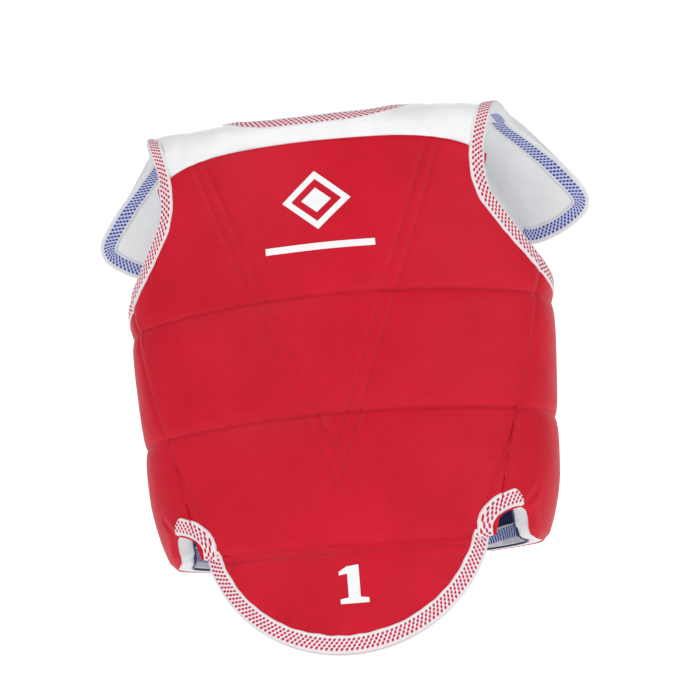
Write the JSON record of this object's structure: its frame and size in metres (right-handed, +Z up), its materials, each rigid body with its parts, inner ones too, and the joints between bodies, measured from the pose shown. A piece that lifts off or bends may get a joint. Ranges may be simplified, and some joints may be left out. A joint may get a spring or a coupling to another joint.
{
  "type": "chest protector",
  "caption": "Padded reversible trunk protector with side wings, groin flap and rear shoulder lobes hinged at sewn seams, with lace loops.",
  "frame": {"origin": "on the centre line of the wearer's trunk, level with the lowest point of the groin flap", "axes": "+Z up as worn, the front of the protector faces -Y, the wearer's left is +X"},
  "size_m": [0.478, 0.2144, 0.49],
  "materials": {
    "red_cover": "red synthetic leather, satin, fine grain",
    "blue_cover": "navy blue synthetic leather, satin, fine grain",
    "white_cover": "white synthetic leather, satin, fine grain",
    "white_lining": "smooth off-white lining",
    "foam": "closed-cell foam",
    "dotted_tape": "woven white tape with rows of coloured dots",
    "seam_web": "two covers sewn together",
    "white_webbing": "white woven tape",
    "white_print": "white transfer print"
  },
  "bodies": {
    "front": {"front_outer_cover": "red_cover", "front_inner_cover": "blue_cover", "front_foam_lower": "foam", "front_foam_middle": "foam", "front_foam_upper": "foam", "yoke_cover": "white_cover", "yoke_foam": "foam", "yoke_lining": "white_lining", "neck_binding": "dotted_tape", "left_armhole_binding": "dotted_tape", "right_armhole_binding": "dotted_tape", "left_side_seam": "seam_web", "right_side_seam": "seam_web", "groin_seam": "seam_web", "left_shoulder_seam": "seam_web", "right_shoulder_seam": "seam_web", "chest_emblem": "white_print"},
    "left_wing": {"left_wing_outer_cover": "red_cover", "left_wing_inner_cover": "blue_cover", "left_wing_foam_lower": "foam", "left_wing_foam_middle": "foam", "left_wing_foam_upper": "foam", "left_wing_binding": "dotted_tape", "left_wing_lace_loops": "white_webbing"},
    "right_wing": {"right_wing_outer_cover": "red_cover", "right_wing_inner_cover": "blue_cover", "right_wing_foam_lower": "foam", "right_wing_foam_middle": "foam", "right_wing_foam_upper": "foam", "right_wing_binding": "dotted_tape", "right_wing_lace_loops": "white_webbing"},
    "groin_flap": {"groin_outer_cover": "red_cover", "groin_inner_cover": "blue_cover", "groin_foam": "foam", "groin_binding": "dotted_tape", "size_numeral": "white_print"},
    "left_shoulder": {"left_lobe_outer_cover": "white_cover", "left_lobe_lining": "white_lining", "left_lobe_foam": "foam", "left_lobe_binding": "dotted_tape", "left_lobe_lace_loop": "white_webbing"},
    "right_shoulder": {"right_lobe_outer_cover": "white_cover", "right_lobe_lining": "white_lining", "right_lobe_foam": "foam", "right_lobe_binding": "dotted_tape", "right_lobe_lace_loop": "white_webbing"}
  },
  "joints": [
    {"name": "left_wing_fold", "type": "hinge", "parent": "front", "child": "left_wing", "pos_m": [0.14712, -0.05356, 0.219], "axis": [-0.1986, -0.1744, -0.9644], "range_deg": [-12, 50], "stiffness_Nm_per_rad": 0.8, "deforming": ["left_side_seam"]},
    {"name": "right_wing_fold", "type": "hinge", "parent": "front", "child": "right_wing", "pos_m": [-0.14712, -0.05356, 0.219], "axis": [-0.1986, 0.1744, 0.9644], "range_deg": [-12, 50], "stiffness_Nm_per_rad": 0.8, "deforming": ["right_side_seam"]},
    {"name": "groin_flap_fold", "type": "hinge", "parent": "front", "child": "groin_flap", "pos_m": [0, -0.09425, 0.092], "axis": [-1, 0, 0], "range_deg": [-20, 30], "stiffness_Nm_per_rad": 0.4, "deforming": ["groin_seam"]},
    {"name": "left_shoulder_fold", "type": "hinge", "parent": "front", "child": "left_shoulder", "pos_m": [0.127, 0, 0.484], "axis": [1, 0, 0], "range_deg": [-8, 55], "stiffness_Nm_per_rad": 0.8, "deforming": ["left_shoulder_seam"]},
    {"name": "right_shoulder_fold", "type": "hinge", "parent": "front", "child": "right_shoulder", "pos_m": [-0.127, 0, 0.484], "axis": [1, 0, 0], "range_deg": [-8, 55], "stiffness_Nm_per_rad": 0.8, "deforming": ["right_shoulder_seam"]}
  ]
}
